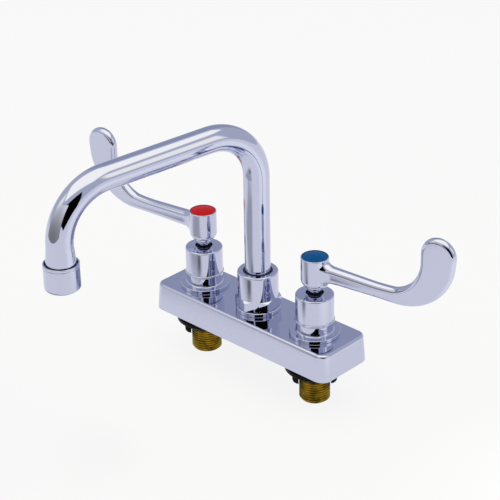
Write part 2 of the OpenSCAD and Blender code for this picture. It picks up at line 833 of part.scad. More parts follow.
on_spout() spout_seals();
at_outlet() spout_outlet();
at_outlet() aerator_shell();
at_outlet() aerator_washer();
at_outlet() aerator_core();
at_outlet() aerator_screen();
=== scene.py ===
# Deck-mount faucet with wrist blade handles and a swing spout.
# Lengths below are in millimetres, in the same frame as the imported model; mm() turns them to metres.
import math
import bpy
import bmesh
from mathutils import Matrix, Vector


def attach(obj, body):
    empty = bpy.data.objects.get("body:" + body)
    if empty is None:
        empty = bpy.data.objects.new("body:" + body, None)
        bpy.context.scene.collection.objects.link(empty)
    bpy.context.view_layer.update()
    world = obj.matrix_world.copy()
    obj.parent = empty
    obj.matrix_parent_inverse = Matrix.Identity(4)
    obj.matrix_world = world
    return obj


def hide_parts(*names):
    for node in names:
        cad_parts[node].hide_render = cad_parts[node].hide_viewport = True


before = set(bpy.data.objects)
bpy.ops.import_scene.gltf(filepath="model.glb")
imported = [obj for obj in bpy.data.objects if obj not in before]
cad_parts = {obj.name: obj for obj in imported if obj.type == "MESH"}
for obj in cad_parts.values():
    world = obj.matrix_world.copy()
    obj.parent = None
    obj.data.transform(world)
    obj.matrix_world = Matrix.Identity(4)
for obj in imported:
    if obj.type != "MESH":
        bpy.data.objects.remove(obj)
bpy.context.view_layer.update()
print("frame loaded:", len(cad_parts), "nodes")


# Small helpers

def mm(value):
    return value * 0.001


def smoothStep(t):
    t = min(max(t, 0.0), 1.0)
    return t * t * (3 - 2 * t)


def mix(a, b, t):
    return a + (b - a) * t


def linearColour(hexText):
    channels = [int(hexText[i:i + 2], 16) / 255 for i in (0, 2, 4)]
    return tuple(c / 12.92 if c <= 0.04045 else ((c + 0.055) / 1.055) ** 2.4 for c in channels) + (1.0,)


def addNode(tree, kind, settings=None, links=None):
    node = tree.nodes.new(kind)
    for key, value in (settings or {}).items():
        if isinstance(key, str) and hasattr(node, key):
            setattr(node, key, value)
        else:
            node.inputs[key].default_value = value
    for key, source in (links or {}).items():
        tree.links.new(source, node.inputs[key])
    return node


def newMaterial(name):
    material = bpy.data.materials.new(name)
    material.use_nodes = True
    tree = material.node_tree
    tree.nodes.clear()
    return material, tree, addNode(tree, "ShaderNodeTexCoord").outputs


def finishMaterial(tree, settings, links):
    shader = addNode(tree, "ShaderNodeBsdfPrincipled", settings, links)
    addNode(tree, "ShaderNodeOutputMaterial", None, {"Surface": shader.outputs["BSDF"]})
    return shader


def patternScale(sizeInMm):
    return 1000.0 / sizeInMm  # noise cells per metre


# Materials

# Bright chrome over nickel: a clear mirror with a cool cast. The casting under it was polished
# by hand on a wheel, so reflections swim a little and the finest scratches dull it in patches.
def chromePlate(name, hexColour, waveSize, waveHeight, roughLow, roughHigh):
    material, tree, place = newMaterial(name)
    wave = addNode(tree, "ShaderNodeTexNoise", {"Scale": patternScale(waveSize), "Detail": 1.0},
                   {"Vector": place["Object"]})
    haze = addNode(tree, "ShaderNodeTexNoise", {"Scale": patternScale(9.0), "Detail": 4.0},
                   {"Vector": place["Object"]})
    rough = addNode(tree, "ShaderNodeMapRange",
                    {"From Min": 0.3, "From Max": 0.7, "To Min": roughLow, "To Max": roughHigh},
                    {"Value": haze.outputs["Fac"]})
    bump = addNode(tree, "ShaderNodeBump", {"Strength": 1.0, "Distance": mm(waveHeight)},
                   {"Height": wave.outputs["Fac"]})
    finishMaterial(tree, {"Base Color": linearColour(hexColour), "Metallic": 1.0},
                   {"Roughness": rough.outputs["Result"], "Normal": bump.outputs["Normal"]})
    return material


# Free-cutting brass as it leaves the lathe, a little tarnished: yellow crests, brown in the roots,
# with turning marks that are finer than the render, so they are drawn 1.57 mm apart.
def turnedBrass(name, lightHex, darkHex):
    material, tree, place = newMaterial(name)
    tarnish = addNode(tree, "ShaderNodeTexNoise", {"Scale": patternScale(5.0), "Detail": 5.0},
                      {"Vector": place["Object"]})
    marks = addNode(tree, "ShaderNodeTexWave",
                    {"wave_type": "BANDS", "bands_direction": "Z", "Distortion": 1.5, "Detail": 2.0,
                     "Scale": patternScale(1.57) * 2 * math.pi / 20},  # 20 radians a unit at a scale of 1
                    {"Vector": place["Object"]})
    share = addNode(tree, "ShaderNodeMapRange",
                    {"From Min": 0.3, "From Max": 0.6, "To Min": 0.35, "To Max": 1.0},
                    {"Value": tarnish.outputs["Fac"]})
    colour = addNode(tree, "ShaderNodeMix",
                     {"data_type": "RGBA", 6: linearColour(darkHex), 7: linearColour(lightHex)},
                     {0: share.outputs["Result"]})
    rough = addNode(tree, "ShaderNodeMapRange",
                    {"From Min": 0.3, "From Max": 0.7, "To Min": 0.42, "To Max": 0.24},
                    {"Value": tarnish.outputs["Fac"]})
    bump = addNode(tree, "ShaderNodeBump", {"Strength": 0.35, "Distance": mm(0.02)},
                   {"Height": marks.outputs["Fac"]})
    finishMaterial(tree, {"Metallic": 1.0},
                   {"Base Color": colour.outputs[2], "Roughness": rough.outputs["Result"],
                    "Normal": bump.outputs["Normal"]})
    return material


# Moulded plastics. Glass-filled nylon from a spark-eroded mould has a soft sheen broken by a fine grain.
# The acetal and the ABS of the buttons come from a smoother mould, so their grain is shallower.
def mouldedPlastic(name, hexColour, grain, grainHeight, roughLow, roughHigh, shine):
    material, tree, place = newMaterial(name)
    texture = addNode(tree, "ShaderNodeTexNoise", {"Scale": patternScale(grain), "Detail": 3.0},
                      {"Vector": place["Object"]})
    patches = addNode(tree, "ShaderNodeTexNoise", {"Scale": patternScale(7.0), "Detail": 2.0},
                      {"Vector": place["Object"]})
    rough = addNode(tree, "ShaderNodeMapRange",
                    {"From Min": 0.3, "From Max": 0.7, "To Min": roughLow, "To Max": roughHigh},
                    {"Value": patches.outputs["Fac"]})
    bump = addNode(tree, "ShaderNodeBump", {"Strength": 0.6, "Distance": mm(grainHeight)},
                   {"Height": texture.outputs["Fac"]})
    finishMaterial(tree, {"Base Color": linearColour(hexColour), "IOR": 1.53, "Specular IOR Level": shine},
                   {"Roughness": rough.outputs["Result"], "Normal": bump.outputs["Normal"]})
    return material


# Compression-moulded rubber: dark, dull and slightly dusty.
def sealRubber():
    material, tree, place = newMaterial("moulded EPDM rubber")
    dust = addNode(tree, "ShaderNodeTexNoise", {"Scale": patternScale(1.2), "Detail": 6.0},
                   {"Vector": place["Object"]})
    colour = addNode(tree, "ShaderNodeMix",
                     {"data_type": "RGBA", 6: linearColour("151516"), 7: linearColour("2a2a2b")},
                     {0: dust.outputs["Fac"]})
    bump = addNode(tree, "ShaderNodeBump", {"Strength": 0.5, "Distance": mm(0.03)},
                   {"Height": dust.outputs["Fac"]})
    finishMaterial(tree, {"Roughness": 0.78, "IOR": 1.52},
                   {"Base Color": colour.outputs[2], "Normal": bump.outputs["Normal"]})
    return material


# Lapped alumina: a warm white that is dense and almost mirror-flat, with a trace of grey speckle.
def lappedCeramic():
    material, tree, place = newMaterial("lapped alumina")
    speckle = addNode(tree, "ShaderNodeTexNoise", {"Scale": patternScale(0.4), "Detail": 4.0},
                      {"Vector": place["Object"]})
    colour = addNode(tree, "ShaderNodeMix",
                     {"data_type": "RGBA", 6: linearColour("dedacd"), 7: linearColour("f1eee4")},
                     {0: speckle.outputs["Fac"]})
    rough = addNode(tree, "ShaderNodeMapRange",
                    {"From Min": 0.3, "From Max": 0.7, "To Min": 0.1, "To Max": 0.2},
                    {"Value": speckle.outputs["Fac"]})
    finishMaterial(tree, {"IOR": 1.76},
                   {"Base Color": colour.outputs[2], "Roughness": rough.outputs["Result"]})
    return material


# Pressed stainless sheet and turned stainless: grey, satin, with rolling lines along one way.
def pressedStainless():
    material, tree, place = newMaterial("pressed stainless steel")
    stretched = addNode(tree, "ShaderNodeMapping", {"Scale": (1.0, 14.0, 14.0)}, {"Vector": place["Object"]})
    lines = addNode(tree, "ShaderNodeTexNoise", {"Scale": patternScale(4.0), "Detail": 4.0},
                    {"Vector": stretched.outputs["Vector"]})
    rough = addNode(tree, "ShaderNodeMapRange",
                    {"From Min": 0.3, "From Max": 0.7, "To Min": 0.22, "To Max": 0.42},
                    {"Value": lines.outputs["Fac"]})
    bump = addNode(tree, "ShaderNodeBump", {"Strength": 0.3, "Distance": mm(0.01)},
                   {"Height": lines.outputs["Fac"]})
    finishMaterial(tree, {"Base Color": linearColour("b4b5b8"), "Metallic": 1.0},
                   {"Roughness": rough.outputs["Result"], "Normal": bump.outputs["Normal"]})
    return material


paint = {
    "chromeCasting": chromePlate("chrome plate on polished zinc casting", "c5c8df", 16.0, 0.03, 0.03, 0.07),
    "chromeTurning": chromePlate("chrome plate on turned brass", "c5c8df", 22.0, 0.012, 0.025, 0.06),
    "chromeTube": chromePlate("chrome plate on drawn brass tube", "c5c8df", 30.0, 0.02, 0.03, 0.06),
    "brass": turnedBrass("turned brass, not plated", "b39a3e", "4f3d0c"),
    "nylon": mouldedPlastic("moulded black nylon", "030303", 0.35, 0.03, 0.4, 0.55, 0.1),
    "acetalBlack": mouldedPlastic("moulded black acetal", "0b0b0d", 0.5, 0.01, 0.22, 0.34, 0.4),
    "acetalWhite": mouldedPlastic("moulded natural acetal", "d8d8d2", 0.6, 0.01, 0.3, 0.42, 0.5),
    "redButton": mouldedPlastic("moulded ABS, signal red", "c4191e", 0.5, 0.012, 0.2, 0.34, 0.06),
    "blueButton": mouldedPlastic("moulded ABS, deep blue", "04518f", 0.5, 0.012, 0.2, 0.34, 0.06),
    "rubber": sealRubber(),
    "ceramic": lappedCeramic(),
    "stainless": pressedStainless(),
}
print("materials made:", len(paint))


# Mesh tools

def makePiece(name, points, faces, material, replaced, body, sharpAngle=32, weighted=True):
    mesh = bpy.data.meshes.new(name)
    mesh.from_pydata([tuple(mm(c) for c in p) for p in points], [], faces)
    work = bmesh.new()
    work.from_mesh(mesh)
    bmesh.ops.remove_doubles(work, verts=work.verts, dist=mm(0.002))
    bmesh.ops.dissolve_degenerate(work, edges=work.edges, dist=mm(0.001))
    bmesh.ops.recalc_face_normals(work, faces=work.faces)
    work.to_mesh(mesh)
    work.free()
    piece = bpy.data.objects.new(name, mesh)
    bpy.context.scene.collection.objects.link(piece)
    return dressPiece(piece, material, replaced, body, sharpAngle, weighted)


def dressPiece(piece, material, replaced, body, sharpAngle=32, weighted=True):
    mesh = piece.data
    mesh.materials.clear()
    mesh.materials.append(paint[material])
    mesh.polygons.foreach_set("use_smooth", [True] * len(mesh.polygons))
    mesh.set_sharp_from_angle(angle=math.radians(sharpAngle))
    if weighted:
        modifier = piece.modifiers.new("weighted normals", "WEIGHTED_NORMAL")
        modifier.keep_sharp = True
        modifier.weight = 60
    if replaced:
        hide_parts(*replaced)
    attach(piece, body)
    return piece


def arc(centreR, centreZ, radius, start, end, steps=8, squash=1.0):
    angles = [math.radians(mix(start, end, i / steps)) for i in range(steps + 1)]
    return [(centreR + radius * math.cos(a), centreZ + radius * squash * math.sin(a)) for a in angles]


# Turns a profile of (radius, height) about an upright axis. A closed profile makes a ring.
def turnedPoints(profile, closed, axis=(0.0, 0.0), steps=128):
    points, faces = [], []
    count = len(profile)
    for i in range(steps):
        a = 2 * math.pi * i / steps
        points += [(axis[0] + r * math.cos(a), axis[1] + r * math.sin(a), z) for r, z in profile]
    for i in range(steps):
        j = (i + 1) % steps
        for k in range(count if closed else count - 1):
            n = (k + 1) % count
            faces.append((i * count + k, j * count + k, j * count + n, i * count + n))
    return points, faces


def gridFaces(rows, columns, wrap=True, offset=0):
    faces = []
    for i in range(rows - 1):
        for k in range(columns if wrap else columns - 1):
            n = (k + 1) % columns
            faces.append((offset + i * columns + k, offset + i * columns + n,
                          offset + (i + 1) * columns + n, offset + (i + 1) * columns + k))
    return faces


# A grid whose last row also joins its first one, as on a ring with a hole through it
def closedGrid(rows, columns):
    last = (rows - 1) * columns
    faces = gridFaces(rows, columns)
    for k in range(columns):
        n = (k + 1) % columns
        faces.append((last + k, last + n, n, k))
    return faces


def moved(points, turn=0.0, shift=(0.0, 0.0, 0.0)):
    c, s = math.cos(math.radians(turn)), math.sin(math.radians(turn))
    return [(x * c - y * s + shift[0], x * s + y * c + shift[1], z + shift[2]) for x, y, z in points]


def unionWith(piece, other):
    modifier = piece.modifiers.new("union", "BOOLEAN")
    modifier.operation = "UNION"
    modifier.solver = "EXACT"
    modifier.object = other
    bpy.context.view_layer.update()
    joined = bpy.data.meshes.new_from_object(piece.evaluated_get(bpy.context.evaluated_depsgraph_get()))
    piece.modifiers.clear()
    piece.data = joined
    bpy.data.objects.remove(other)


def plainObject(name, points, faces, merge=True):
    mesh = bpy.data.meshes.new(name)
    mesh.from_pydata([tuple(mm(c) for c in p) for p in points], [], faces)
    work = bmesh.new()
    work.from_mesh(mesh)
    if merge:
        bmesh.ops.remove_doubles(work, verts=work.verts, dist=mm(0.002))
        bmesh.ops.recalc_face_normals(work, faces=work.faces)
    work.to_mesh(mesh)
    work.free()
    made = bpy.data.objects.new(name, mesh)
    bpy.context.scene.collection.objects.link(made)
    return made


halfCentres = 50.8
sides = {
    "hot": {"axis": (-halfCentres, 0.0), "bladeTurn": 185.1, "button": "redButton"},
    "cold": {"axis": (halfCentres, 0.0), "bladeTurn": 8.3, "button": "blueButton"},
}

# Cast body
castBody = {"length": 158.0, "width": 47.0, "height": 19.4, "draft": 1.5, "corner": 8.0, "edge": 2.1,
            "foot": 0.4, "wall": 2.6, "roof": 16.3, "rootFillet": 1.4, "hole": 11.2, "holeSteps": 72,
            "cornerSteps": 20, "edgeSteps": 9}


def roundedRing(cornerRadius, height):
    x = castBody["length"] / 2 - castBody["corner"]
    y = castBody["width"] / 2 - castBody["corner"]
    ring = []
    for cx, cy, start in ((x, y, 0), (-x, y, 90), (-x, -y, 180), (x, -y, 270)):
        for i in range(castBody["cornerSteps"] + 1):
            a = math.radians(start + 90 * i / castBody["cornerSteps"])
            ring.append((cx + cornerRadius * math.cos(a), cy + cornerRadius * math.sin(a), height))
    return ring


def buildBody():
    b = castBody
    shoulder = b["height"] - b["edge"]
    lean = b["draft"] * shoulder / b["height"]
    sideRadius = lambda z: b["corner"] - lean * z / shoulder
    topRadius = sideRadius(shoulder) - b["edge"]
    innerTop = sideRadius(b["roof"]) - b["wall"]
    levels = [(innerTop - b["rootFillet"], b["roof"]), (innerTop, b["roof"] - b["rootFillet"])]
    levels += [(b["corner"] - b["wall"], 0.0), (b["corner"] - b["foot"], 0.0), (b["corner"], b["foot"])]
    levels += [(topRadius + r, z) for r, z in arc(0, shoulder, b["edge"], 0, 90, b["edgeSteps"])]
    rings = [roundedRing(max(r, 0.2), z) for r, z in levels]
    columns = len(rings[0])
    mesh = bmesh.new()
    made = [[mesh.verts.new(p) for p in ring] for ring in rings]
    for low, high in zip(made, made[1:]):
        for k in range(columns):
            n = (k + 1) % columns
            mesh.faces.new((low[k], low[n], high[n], high[k]))
    holes, count = {}, b["holeSteps"]
    for ring, z in ((made[0], b["roof"]), (made[-1], b["height"])):
        edges = [mesh.edges.get((ring[k], ring[(k + 1) % columns])) for k in range(columns)]
        for x in (-halfCentres, 0.0, halfCentres):
            loop = [mesh.verts.new((x + b["hole"] * math.cos(a), b["hole"] * math.sin(a), z))
                    for a in [2 * math.pi * i / count for i in range(count)]]
            edges += [mesh.edges.new((loop[i], loop[(i + 1) % count])) for i in range(count)]
            holes.setdefault(x, []).append(loop)
        bmesh.ops.triangle_fill(mesh, edges=edges, use_beauty=True, use_dissolve=False)
    for low, high in holes.values():
        for i in range(count):
            mesh.faces.new((low[i], low[(i + 1) % count], high[(i + 1) % count], high[i]))
    mesh.verts.ensure_lookup_table()
    mesh.verts.index_update()
    points = [tuple(v.co) for v in mesh.verts]
    faces = [tuple(v.index for v in f.verts) for f in mesh.faces]
    mesh.free()
    makePiece("body_shell", points, faces, "chromeCasting", ["body_casting"], "base")


buildBody()
print("body made")

# Supply shanks, with a true helical thread
shank = {"crest": 10.4, "root": 9.15, "bore": 7.4, "low": -30.6, "top": 0.2, "pitch": 1.814,
         "runOut": -3.2, "runOutLength": 1.6, "lead": 1.3, "spigot": 9.3, "spigotTop": 5.8, "columns": 96,
         "threadStart": 20.0}
# (share of a turn, share of the thread's depth)
threadShape = [(0.0, 0.0), (0.1, 0.0), (0.2, 0.22), (0.3, 0.5), (0.4, 0.8), (0.47, 1.0),
               (0.63, 1.0), (0.7, 0.8), (0.8, 0.5), (0.9, 0.22)]


def buildShank(side):
    s = shank
    angles = [2 * math.pi * k / s["columns"] for k in range(s["columns"] + 1)]
    bore = [(s["bore"], s["spigotTop"]), (s["bore"], s["low"] + 0.8), (s["bore"] + 0.8, s["low"])]
    turns = int((s["top"] - s["low"]) / s["pitch"]) + 2
    helix = [(t + part, depth) for t in range(-1, turns) for part, depth in threadShape]
    spigot = [(s["crest"], s["top"]), (s["spigot"], s["top"]), (s["spigot"], s["spigotTop"]),
              (s["bore"], s["spigotTop"])]
    points = [(r * math.cos(a), r * math.sin(a), z) for r, z in bore for a in angles]
    for turn, depth in helix:
        for k, a in enumerate(angles):
            z = min(max(s["low"] + (turn + k / s["columns"]) * s["pitch"], s["low"]), s["top"])
            lead = smoothStep((z - s["low"]) / s["lead"])
            fade = smoothStep((z - s["runOut"]) / s["runOutLength"])
            r = mix(s["root"] - 0.2, mix(s["root"], s["crest"], max(depth, fade)), lead)
            points.append((r * math.cos(a), r * math.sin(a), z))
    points += [(r * math.cos(a), r * math.sin(a), z) for r, z in spigot for a in angles]
    faces = gridFaces(len(bore) + len(helix) + len(spigot), len(angles), wrap=False)
    points = moved(points, s["threadStart"], (sides[side]["axis"][0], 0.0, 0.0))
    makePiece(side + "_threaded_shank", points, faces, "brass", [side + "_shank"], "base",
              sharpAngle=50, weighted=False)


# Mounting nuts and washers
mountingNut = {"top": -3.65, "flange": 20.2, "flangeHeight": 3.4, "skirt": 15.6, "barrel": 13.6,
               "barrelLow": -12.25, "bore": 10.85, "low": -19.45, "wingReach": 15.1, "wingThick": 6.0,
               "wingEdge": 1.1, "wingCorner": 3.6, "turn": 44.0}


def buildMountingNut(side):
    n = mountingNut
    top, flangeLow = n["top"], n["top"] - n["flangeHeight"]
    shift = (sides[side]["axis"][0], 0, 0)
    profile = [(n["bore"], top), (n["flange"] - 0.6, top)]
    profile += arc(n["flange"] - 0.6, top - 0.6, 0.6, 90, 0, 4)
    profile += arc(n["flange"] - 0.8, flangeLow + 0.8, 0.8, 0, -60, 4)
    profile += [(n["skirt"] + 0.4, flangeLow - 2.6), (n["skirt"], flangeLow - 3.0)]
    profile += [(n["barrel"] + 0.2, n["barrelLow"] + 0.9)]
    profile += arc(n["barrel"] - 0.8, n["barrelLow"] + 0.8, 0.8, 0, -90, 4)
    profile += [(n["bore"] + 0.7, n["barrelLow"]), (n["bore"], n["barrelLow"] + 0.7)]
    points, faces = turnedPoints(profile, True, steps=96)
    nut = plainObject(side + "_wing_nut", moved(points, n["turn"], shift), faces)
    # each wing is a plate with a round outer edge, built from rings across its thickness
    corner, edgeRings = n["wingCorner"], 7
    inner, outer, low, high = n["bore"] + 0.05, n["wingReach"], n["low"], flangeLow - 1.0
    outline = [(inner, high), (inner, low)]
    outline += arc(outer - corner, low + corner, corner, -90, 0, 10) + [(outer, high)]
    count = len(outline)
    for way in (-1, 1):
        points = []
        for i in range(edgeRings):
            a = math.radians(-90 + 180 * i / (edgeRings - 1))
            inset, y = n["wingEdge"] * (1 - math.cos(a)), n["wingThick"] / 2 * math.sin(a)
            points += [(way * (x - (inset if x > inner + 0.1 else 0.0)), way * y,
                        z + (inset if z < low + corner else 0.0)) for x, z in outline]
        lastRing = (edgeRings - 1) * count
        faces = gridFaces(edgeRings, count) + [tuple(range(count))]
        faces.append(tuple(reversed([lastRing + k for k in range(count)])))
        unionWith(nut, plainObject("wing", moved(points, n["turn"], shift), faces))
    dressPiece(nut, "nylon", [side + "_mounting_nut"], side + "_nut", sharpAngle=38)


washer = {"outer": 17.0, "bore": 10.85, "top": -2.15, "low": -3.35}


def buildWasher(side):
    w = washer
    profile = [(w["bore"], w["low"] + 0.2), (w["bore"] + 0.2, w["low"])]
    profile += arc(w["outer"] - 0.5, w["low"] + 0.5, 0.5, -90, 0, 4)
    profile += [(w["outer"], w["top"] - 0.15), (w["outer"] - 0.15, w["top"]), (w["bore"] + 0.15, w["top"]),
                (w["bore"], w["top"] - 0.15)]
    points, faces = turnedPoints(profile, True, sides[side]["axis"], 96)
    makePiece(side + "_steel_washer", points, faces, "stainless", [side + "_clamp_washer"],
              side + "_washer")


# Escutcheons and bonnets
escutcheon = {"low": 19.43, "rim": 17.0, "rimThick": 2.6, "rootThick": 2.9, "fillet": 1.0, "collar": 12.5,
              "top": 29.13, "bore": 11.3}


def buildEscutcheon(side):
    e = escutcheon
    rimTop, rootTop = e["low"] + e["rimThick"], e["low"] + e["rootThick"]
    profile = [(e["bore"], e["low"]), (e["rim"] - 0.25, e["low"]), (e["rim"], e["low"] + 0.25)]
    profile += arc(e["rim"] - 0.4, rimTop - 0.4, 0.4, 0, 86, 6)
    profile += arc(e["collar"] + e["fillet"], rootTop + e["fillet"], e["fillet"], -92, -180, 10)
    profile += [(e["collar"], e["top"] - 0.3), (e["collar"] - 0.3, e["top"]), (e["bore"], e["top"])]
    points, faces = turnedPoints(profile, True, sides[side]["axis"])
    makePiece(side + "_escutcheon_ring", points, faces, "chromeTurning",
              [side + "_escutcheon"], "base")


bonnet = {"low": 29.23, "foot": 13.4, "bead": 0.8, "groove": 12.62, "wall": 12.85, "top": 49.63,
          "slope": 10.0, "corner": 1.0, "bore": 11.05, "opening": 5.95, "roof": 4.6}


def buildBonnet(side):
    b = bonnet
    slope = math.radians(b["slope"])
    mouth = b["opening"] + 0.22
    coneFoot = b["wall"] - b["corner"] * (1 - math.sin(slope))
    cornerZ = b["top"] - (coneFoot - mouth) * math.tan(slope) - b["corner"] * math.cos(slope)
    beadTop = b["low"] + 2 * b["bead"]
    profile = [(b["bore"], b["low"])]
    profile += arc(b["foot"] - b["bead"], b["low"] + b["bead"], b["bead"], -88, 82, 12)
    profile += [(b["groove"], beadTop + 0.08), (b["groove"] + 0.02, beadTop + 0.16)]
    profile += [(b["wall"], beadTop + 0.32)]
    profile += [(b["wall"], mix(beadTop + 0.6, cornerZ - 0.2, t)) for t in (0, 0.5, 1)]
    profile += arc(b["wall"] - b["corner"], cornerZ, b["corner"], 0, 90 - b["slope"], 9)
    profile += [(mix(coneFoot, mouth, t), b["top"] - (1 - t) * (coneFoot - mouth) * math.tan(slope))
                for t in (0.03, 0.5, 0.96)]
    profile += arc(b["opening"] + 0.2, b["top"] - 0.22, 0.2, 80, 180, 4)
    profile += [(b["opening"], b["top"] - b["roof"]), (b["bore"], b["top"] - b["roof"] - 2)]
    points, faces = turnedPoints(profile, True, sides[side]["axis"])
    makePiece(side + "_bonnet_cover", points, faces, "chromeTurning",
              [side + "_bonnet"], "base")


for side in sides:
    buildShank(side)
    buildMountingNut(side)
    buildWasher(side)
    buildEscutcheon(side)
    buildBonnet(side)
print("shanks, nuts, escutcheons and bonnets made")

# Handles
hub = {"low": 52.5, "top": 75.7, "radius": 9.3, "neck": 5.5, "bellyFoot": 5.8, "bellyZ": 59.7,
       "bellyHeight": 4.2, "splineBore": 3.85, "splineTop": 63.5, "webTop": 66.1, "screwHole": 2.1,
       "pocket": 5.0, "recess": 73.7, "recessRadius": 8.65, "topEdge": 0.55}
blade = {"reach": 102.2, "top": 113.8, "low": 60.0, "tip": 12.1, "outerBend": 40.0, "innerBend": 24.5,
         "armRise": 6.3, "armHalf": 6.3, "armEndHalf": 5.0, "armEndRise": 5.4, "armThick": 9.0,
         "bendThick": 7.6, "tipThick": 6.6, "filletLong": 6.0, "filletUp": 2.7, "filletDown": 4.2,
         "filletSide": 4.0}


def hubPoints():
    h = hub
    bellyWidth, edge = h["radius"] - h["bellyFoot"], h["topEdge"]
    bellyLow = h["bellyZ"] - h["bellyHeight"]
    profile = [(h["neck"] - 0.12, h["low"]), (h["neck"], h["low"] + 0.12)]
    profile += [(mix(h["neck"], h["bellyFoot"], t), mix(h["low"], bellyLow, t)) for t in (0.5, 0.97)]
    profile += arc(h["bellyFoot"], h["bellyZ"], bellyWidth, -88, 0, 16, squash=h["bellyHeight"] / bellyWidth)
    profile += [(h["radius"], h["top"] - edge - 0.2)]
    profile += arc(h["radius"] - edge, h["top"] - edge, edge, 0, 90, 5)
    profile += [(h["recessRadius"], h["top"]), (h["recessRadius"], h["recess"]), (h["pocket"], h["recess"]),
                (h["pocket"], h["webTop"]), (h["screwHole"], h["webTop"]), (h["screwHole"], h["splineTop"]),
                (h["splineBore"], h["splineTop"]), (h["splineBore"], h["low"])]
    return turnedPoints(profile, True)


# Stations along the blade's spine: (centre, direction across, half width, half thickness)
def bladeStations():
    b = blade
    tip = Vector((b["reach"] - b["tip"], b["top"] - b["tip"]))
    outer = Vector((b["reach"] - b["outerBend"], b["low"] + b["outerBend"]))
    inner = Vector((b["reach"] - 2 * b["tip"] - b["innerBend"], outer.y - b["outerBend"] / 8))
    foci, total = outer - inner, b["outerBend"] + b["innerBend"]
    start, end = Vector((0, b["low"] + b["armRise"])), Vector((b["reach"] / 2, b["low"] + b["armEndRise"]))
    armSteps, bendSteps = 24, 60
    spine = []  # centre, half width, half thickness
    for i in range(armSteps):
        t = i / armSteps
        half, thick = mix(b["armHalf"], b["armEndHalf"], t), mix(b["armThick"], b["bendThick"], t)
        spine.append((start.lerp(end, t), half, thick / 2))
    for i in range(bendSteps + 1):
        t = i / bendSteps
        a = math.radians(-80 + 80 * t)
        out = Vector((math.cos(a), math.sin(a)))
        reach = (total * total - foci.dot(foci)) / (2 * total - 2 * out.dot(foci))
        thick = mix(b["bendThick"], b["tipThick"], smoothStep(t))
        spine.append((inner + out * reach, reach - b["innerBend"], thick / 2))
    spine.append((tip, b["tip"], b["tipThick"] / 2))
    spine = smoothSpine(spine)
    stations = []
    for i, (centre, half, thick) in enumerate(spine):
        before, after = spine[max(i - 1, 0)][0], spine[min(i + 1, len(spine) - 1)][0]
        along = (after - before).normalized()
        across = Vector((-along.y, along.x))
        stations.append((centre, across, half, thick))
    return stations


def smoothSpine(spine):
    for _ in range(6):
        kept = [spine[0]]
        for before, here, after in zip(spine, spine[1:], spine[2:]):
            kept.append(((before[0] + here[0] * 2 + after[0]) / 4, (before[1] + here[1] * 2 + after[1]) / 4,
                         (before[2] + here[2] * 2 + after[2]) / 4))
        spine = kept + [spine[-1]]
    return spine


def bladePoints():
    b, edgeSteps = blade, 10
    loops = []

    def addLoop(upper, upperOut, lower, lowerOut, half, push=None):
        loop = []
        for place, out, sign in ((upper, upperOut, 1), (lower, lowerOut, -1)):
            for i in range(edgeSteps + 1):
                a = math.radians(-90 + 180 * i / edgeSteps) * sign
                flat = place - out * half * (1 - math.cos(a))
                y = half * math.sin(a)
                loop.append((flat.x + (push(y) if push else 0.0), y, flat.y))
        loops.append(loop)

    stations = bladeStations()
    foot = hub["radius"]
    outside = [s for s in stations if s[0].x > foot + b["filletLong"] + 0.5]
    first = stations[0]
    second = outside[0]
    hugHub = lambda y: math.sqrt(max(foot * foot - y * y, 1.0)) - foot
    up = Vector((0, 1))
    flare = [(foot - 3.5, 0.9)]  # the fillet into the hub: (distance, share of its full height)
    for degrees in range(0, 91, 6):
        a = math.radians(degrees)
        flare.append((foot - 0.25 + b["filletLong"] * (1 - math.cos(a)), 1 - math.sin(a)))
    for u, more in flare:
        t = u / second[0].x
        centre = Vector((u, mix(first[0].y, second[0].y, t)))
        half, thick = mix(first[2], second[2], t), mix(first[3], second[3], t)
        blendOut = 1 - smoothStep((u - foot) / b["filletLong"] * 0.9)
        addLoop(centre + up * (half + more * b["filletUp"]), up,
                centre - up * (half + more * b["filletDown"]), -up,
                thick + more * b["filletSide"], lambda y, k=blendOut: hugHub(y) * k)
    for centre, across, half, thick in outside:
        addLoop(centre + across * half, across, centre - across * half, -across, thick)
    centre, _, half, thick = stations[-1]
    along, across, tipSteps = Vector((0, 1)), Vector((-1, 0)), 24
    for i in range(1, tipSteps + 1):
        a = math.radians(90 * i / tipSteps)
        upperOut = across * math.cos(a) + along * math.sin(a)
        lowerOut = -across * math.cos(a) + along * math.sin(a)
        addLoop(centre + upperOut * half, upperOut, centre + lowerOut * half, lowerOut, thick)
    count = len(loops[0])
    points = [p for loop in loops for p in loop]
    faces = gridFaces(len(loops), count) + [tuple(reversed(range(count)))]
    faces.append(tuple((len(loops) - 1) * count + k for k in range(count)))
    return points, faces


def buildHandle(side):
    spec = sides[side]
    shift = (spec["axis"][0], 0.0, 0.0)
    points, faces = hubPoints()
    handle = plainObject(side + "_wrist_blade", moved(points, spec["bladeTurn"], shift), faces)
    points, faces = bladePoints()
    arm = plainObject("arm", moved(points, spec["bladeTurn"], shift), faces)
    unionWith(handle, arm)
    dressPiece(handle, "chromeCasting", [side + "_handle"], side + "_valve",
               sharpAngle=40)


button = {"radius": 8.6, "low": 73.72, "edge": 0.3, "edgeTop": 75.4, "top": 76.6, "plug": 4.9,
          "plugLow": 68.7}


